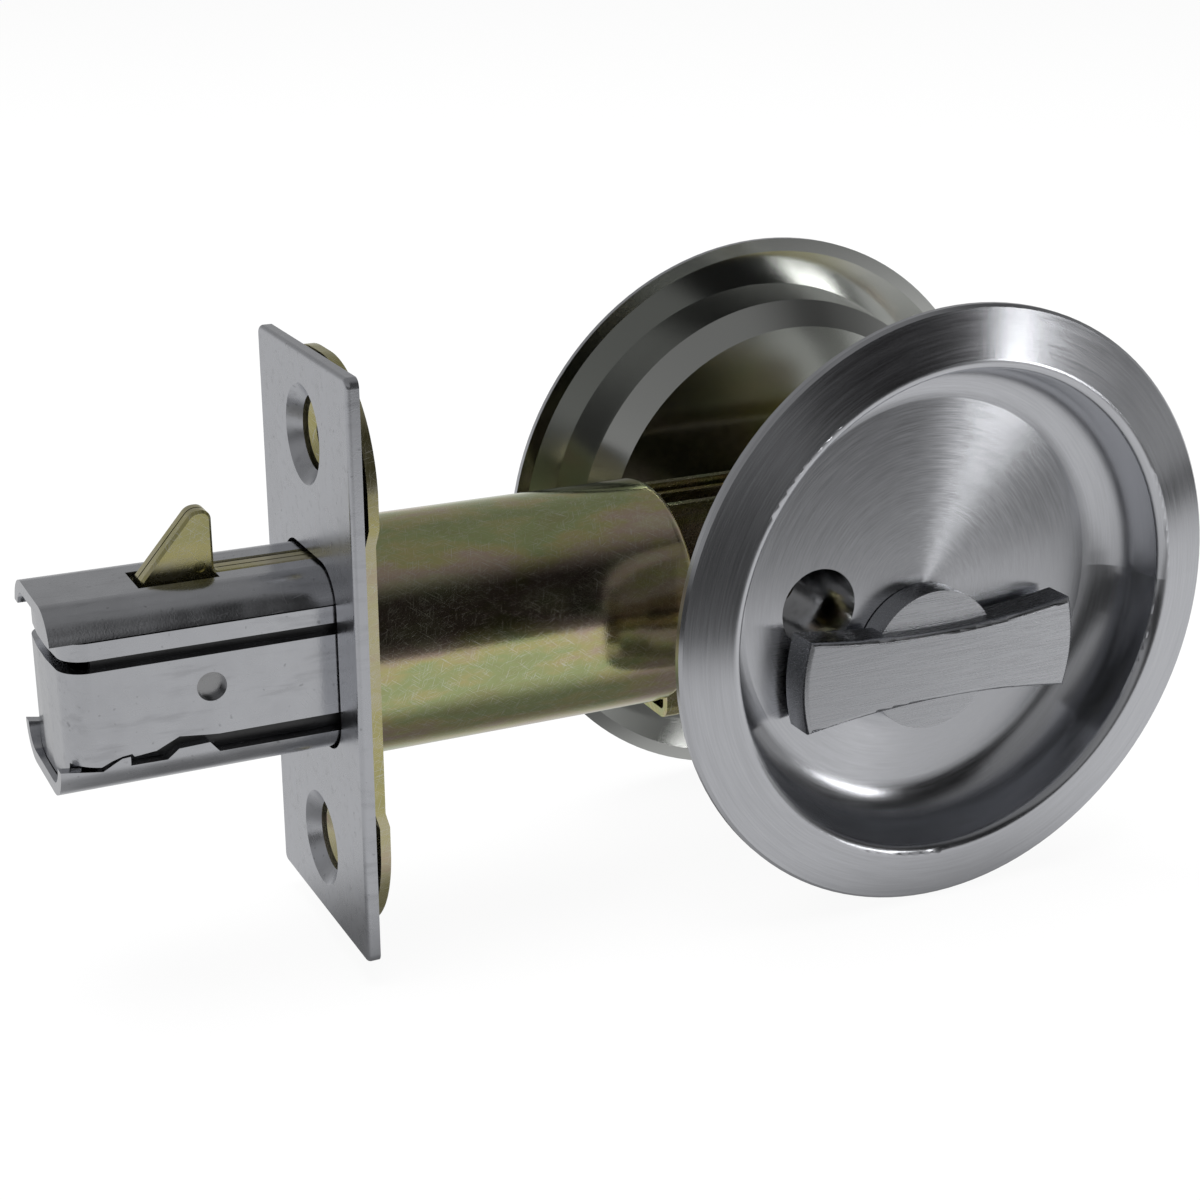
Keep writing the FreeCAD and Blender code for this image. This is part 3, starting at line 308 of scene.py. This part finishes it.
# Chromate: the colours of its film, the order they come in, and how closely its patches and grain lie
GOLD = (0.57, 0.52, 0.24, 1.0)
OLIVE = (0.43, 0.42, 0.20, 1.0)
GREEN = (0.45, 0.51, 0.24, 1.0)
ROSE = (0.60, 0.46, 0.36, 1.0)
STRAW = (0.64, 0.59, 0.38, 1.0)
RAINBOW = [(0.30, OLIVE), (0.41, GREEN), (0.48, GOLD), (0.56, ROSE), (0.64, STRAW), (0.74, GREEN)]
GOLDEN = [(0.30, OLIVE), (0.48, GOLD), (0.60, STRAW), (0.70, ROSE)]
BARE_ZINC = (0.85, 0.84, 0.76, 1.0)
PATCHES = 130.0
PATCH_STRETCH = (0.4, 1.0, 1.0)
CHROMATE_GRAIN = 5200.0
CHROMATE_SCRATCH_LENGTH = 0.0016
CHROMATE_BUMP = 0.000004


def chromate_metal(name, rough, drift, films, round_radius=0.0):
    """Yellow chromate over zinc: patches of gold, green and rose along the X axis, with fine scratches."""
    metal = Metal(name)
    moved = metal.vector("ADD", metal.place, (drift, drift, drift))
    bands = metal.noise(metal.vector("MULTIPLY", moved, PATCH_STRETCH), PATCHES, 5.0, 0.62)
    film = metal.ramp(bands, films)
    scratch = metal.scratches((8.0, 33.0, -38.0, 74.0), 0.17 + drift, CHROMATE_SCRATCH_LENGTH,
                              SCRATCH_WIDTH, rare=0.72, round_radius=round_radius)
    colour = metal.mix(metal.math("MULTIPLY", scratch, 0.55), film, BARE_ZINC)
    grain = metal.noise(metal.place, CHROMATE_GRAIN, 2.0, 0.6)
    roughness = metal.math("ADD", metal.span(bands, 0.3, 0.7, rough - 0.03, rough + 0.04),
                           metal.math("MULTIPLY", scratch, 0.1))
    return metal.finish(colour, roughness, grain, CHROMATE_BUMP)


def wear(names, material):
    for name in names:
        mesh = frame["nodes"][name].data
        mesh.materials.clear()
        mesh.materials.append(material)


# Finishes
wear(["thumbturn_pull"], turned_metal("satin_turned", pull_middle, level=0.60, rough=0.21, back_way=1.0))
wear(["release_pull"], turned_metal("satin_turned_far", pull_middle, level=0.60, rough=0.21, back_way=-1.0))
wear(["thumbturn"], brushed_metal("satin_brushed", level=0.52, rough=0.28))
wear(["release_button"], turned_metal("satin_button", hub_middle, level=0.52, rough=0.24))
wear(["faceplate"], plated_metal("satin_plate", level=0.63, rough=0.28, grain_size=0.00016, tint=0.035))
wear(["bolt_top_channel", "bolt_bottom_channel", "bolt_nose_strap", "bolt_band",
      "thumbturn_clip", "release_clip", "spindle"],
     plated_metal("bright_zinc", level=0.62, rough=0.2, grain_size=0.00022, tint=0.03))
# Near-black zinc on the bolt's liners and on the drive and hook pins: painted shade, standing in for the dark
# inside of the bolt's slot
wear(["bolt_liner_near", "bolt_liner_far", "drive_pin", "hook_pivot_pin"],
     plated_metal("painted_shade_zinc", level=0.09, rough=0.4, grain_size=0.00022))
wear(["bolt_rivets"], plated_metal("rivet_zinc", level=0.42, rough=0.3, grain_size=0.00022))
wear(["thumbturn_pull_sleeves", "release_pull_sleeves"],
     plated_metal("sleeve_zinc", level=0.6, rough=0.12, grain_size=0.0003))
wear(["latch_tube"],
     chromate_metal("yellow_zinc", rough=0.12, drift=0.0, films=RAINBOW, round_radius=tube_radius))
wear(["backplate"], chromate_metal("yellow_zinc_plate", rough=0.24, drift=0.2, films=GOLDEN))
wear(["hub_case", "hub_fork", "drive_rail_near", "drive_rail_far"],
     chromate_metal("yellow_zinc_case", rough=0.22, drift=0.4, films=RAINBOW))
wear(["hook_ply_near", "hook_ply_far", "hook_rivet"],
     chromate_metal("yellow_zinc_hook", rough=0.26, drift=0.9, films=GOLDEN))


# Plate behind the faceplate: between these heights lie its two steps, and deeper than this its two ears
STEP_LOW, STEP_HIGH, STEP_SHIFT = 0.0150, 0.0173, 0.0023
EAR_FRONT, EAR_SHIFT = 0.0023, 0.0007


def make_backplate():
    """The plate behind the faceplate, with each stepped end longer and less deep, as in the photograph."""
    mesh = frame["nodes"]["backplate"].data.copy()
    for vertex in mesh.vertices:
        if STEP_LOW < abs(vertex.co.z) < STEP_HIGH:
            vertex.co.z -= math.copysign(STEP_SHIFT, vertex.co.z)
        if vertex.co.x > EAR_FRONT:
            vertex.co.x -= EAR_SHIFT
    made = bpy.data.objects.new("backplate_dressed", mesh)
    bpy.context.scene.collection.objects.link(made)
    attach(made, "case")
    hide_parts("backplate")


make_backplate()


# Floor, surroundings, lamps and camera
FLOOR_SIZE = 4.0
FLOOR_GAP = 0.0001
# The floor as metal mirrors it: it darkens past its edge towards the camera, and a painted shadow darkens it
# beneath the bolt and the pulls
EDGE_FAR, EDGE_NEAR, EDGE_DARK = -0.32, -0.13, 0.93
UNDER_X, UNDER_Y, UNDER_SHADOW_DARK = 0.03, -0.008, 0.7
UNDER_X_INNER, UNDER_X_OUTER = 0.04, 0.07
UNDER_Y_INNER, UNDER_Y_OUTER = 0.006, 0.024
MIRROR_LEFT, MIRROR_RIGHT = (-0.05, 0.5), (0.15, 0.68)
# The share of the floor's own light in what the camera sees and in what metal mirrors
SEEN_SHARE, MIRRORED_SHARE = 0.94, 0.95


def make_floor():
    """A plain pale floor that keeps the object's shadow."""
    bpy.ops.mesh.primitive_plane_add(size=FLOOR_SIZE, location=(0.0, 0.0, cad_box[0][2] - FLOOR_GAP))
    floor = bpy.context.object
    floor.name = "floor"
    material = bpy.data.materials.new("floor_white")
    material.use_nodes = True
    nodes = Nodes(material.node_tree)
    rays = nodes.node("ShaderNodeLightPath").outputs
    seen = nodes.math("MAXIMUM", rays["Is Camera Ray"], rays["Is Transmission Ray"])
    plain = nodes.node("ShaderNodeBsdfDiffuse", {"Color": grey(0.85)})
    x, y = nodes.split(nodes.node("ShaderNodeTexCoord").outputs["Object"])[:2]
    past_edge = nodes.span(y, EDGE_FAR, EDGE_NEAR, EDGE_DARK, 0.0)
    off_x = nodes.math("ABSOLUTE", nodes.math("SUBTRACT", x, UNDER_X))
    off_y = nodes.math("ABSOLUTE", nodes.math("SUBTRACT", y, UNDER_Y))
    # Painted shadow of the bolt and the pulls, beneath them on the floor as metal mirrors it
    under_shadow = nodes.math("MULTIPLY", nodes.span(off_y, UNDER_Y_INNER, UNDER_Y_OUTER, UNDER_SHADOW_DARK, 0.0),
                       nodes.span(off_x, UNDER_X_INNER, UNDER_X_OUTER, 1.0, 0.0))
    open_part = nodes.math("SUBTRACT", 1.0, nodes.math("MAXIMUM", past_edge, under_shadow))
    (left, left_level), (right, right_level) = MIRROR_LEFT, MIRROR_RIGHT
    mirrored = nodes.math("MULTIPLY", open_part, nodes.span(x, left, right, left_level, right_level))
    level = nodes.math("ADD", seen, nodes.math("MULTIPLY", rays["Is Glossy Ray"], mirrored))
    lit = nodes.node("ShaderNodeEmission", {"Color": grey(1.0), "Strength": level})
    share = nodes.math("ADD", nodes.math("MULTIPLY", seen, SEEN_SHARE),
                       nodes.math("MULTIPLY", rays["Is Glossy Ray"], MIRRORED_SHARE), clamp=True)
    blend = nodes.node("ShaderNodeMixShader", {0: share, 1: plain.outputs[0], 2: lit.outputs[0]})
    output = nodes.node("ShaderNodeOutputMaterial")
    nodes.feed(output.inputs["Surface"], blend.outputs[0])
    floor.data.materials.append(material)


# The room's walls as metal mirrors them: levels of grey by height, from level with the object to overhead
NEAR_WALL = [(0.0, 0.06), (0.08, 0.03), (0.16, 0.01), (0.7, 0.01), (0.8, 0.06), (0.92, 0.22)]
LEFT_WALL = [(0.0, 0.05), (0.16, 0.06), (0.32, 0.32), (0.6, 0.26), (0.92, 0.22)]
RIGHT_WALL = [(0.0, 0.36), (0.12, 0.24), (0.22, 0.05), (0.45, 0.02), (0.8, 0.06), (0.92, 0.22)]
FAR_WALL = [(0.0, 0.6), (0.12, 0.42), (0.34, 0.30), (0.7, 0.22), (1.0, 0.24)]
# Where one wall goes over into the next, along the directions' x and y
LEFT_CORNER = (0.12, 0.26)
RIGHT_CORNER = (0.64, 0.78)
FAR_CORNER = (-0.3, 0.3)


def make_world():
    """A room that the camera sees as white, and that metal sees as walls of different greys."""
    world = bpy.data.worlds.new("room")
    bpy.context.scene.world = world
    world.use_nodes = True
    nodes = Nodes(world.node_tree)
    x, y, z = nodes.split(nodes.node("ShaderNodeTexCoord").outputs["Generated"])
    near_wall, left_wall, right_wall, far_wall = (
        nodes.ramp(z, [(height, grey(level)) for height, level in levels])
        for levels in (NEAR_WALL, LEFT_WALL, RIGHT_WALL, FAR_WALL))
    near_side = nodes.mix(nodes.span(x, *LEFT_CORNER), left_wall, near_wall)
    near_side = nodes.mix(nodes.span(x, *RIGHT_CORNER), near_side, right_wall)
    room = nodes.mix(nodes.span(y, *FAR_CORNER), near_side, far_wall)
    rays = nodes.node("ShaderNodeLightPath").outputs
    seen = nodes.math("MAXIMUM", rays["Is Camera Ray"], rays["Is Transmission Ray"])
    colour = nodes.mix(seen, room, grey(1.0))
    shade = nodes.node("ShaderNodeBackground", {"Color": colour, "Strength": 1.0})
    output = nodes.node("ShaderNodeOutputWorld")
    nodes.feed(output.inputs["Surface"], shade.outputs[0])


def make_lamp(name, way, distance, size, watts):
    """A soft rectangular lamp that stands off from the middle of the pulls along a direction."""
    data = bpy.data.lights.new(name, "AREA")
    data.shape = "RECTANGLE"
    data.size, data.size_y = size
    data.energy = watts
    lamp = bpy.data.objects.new(name, data)
    bpy.context.scene.collection.objects.link(lamp)
    toward = Vector(way).normalized()
    lamp.location = pull_middle + toward * distance
    lamp.rotation_euler = toward.to_track_quat("Z", "Y").to_euler()
    return lamp


def make_camera():
    data = bpy.data.cameras.new("camera")
    data.lens = CAMERA_LENS
    data.sensor_width = SENSOR
    data.clip_start = CAMERA_CLIP
    camera = bpy.data.objects.new("camera", data)
    bpy.context.scene.collection.objects.link(camera)
    camera.location = CAMERA_PLACE
    camera.rotation_euler = CAMERA_WAY.to_track_quat("-Z", "Y").to_euler()
    bpy.context.scene.camera = camera


make_floor()
make_world()
make_lamp("window", way=(0.64, -0.755, 0.15), distance=0.7, size=(0.045, 0.20), watts=0.24)
overhead = make_lamp("overhead", way=(-0.1, 0.1, 0.98), distance=1.0, size=(0.8, 0.8), watts=20.0)
overhead.visible_glossy = False
make_camera()
bpy.context.scene.view_settings.view_transform = "Standard"
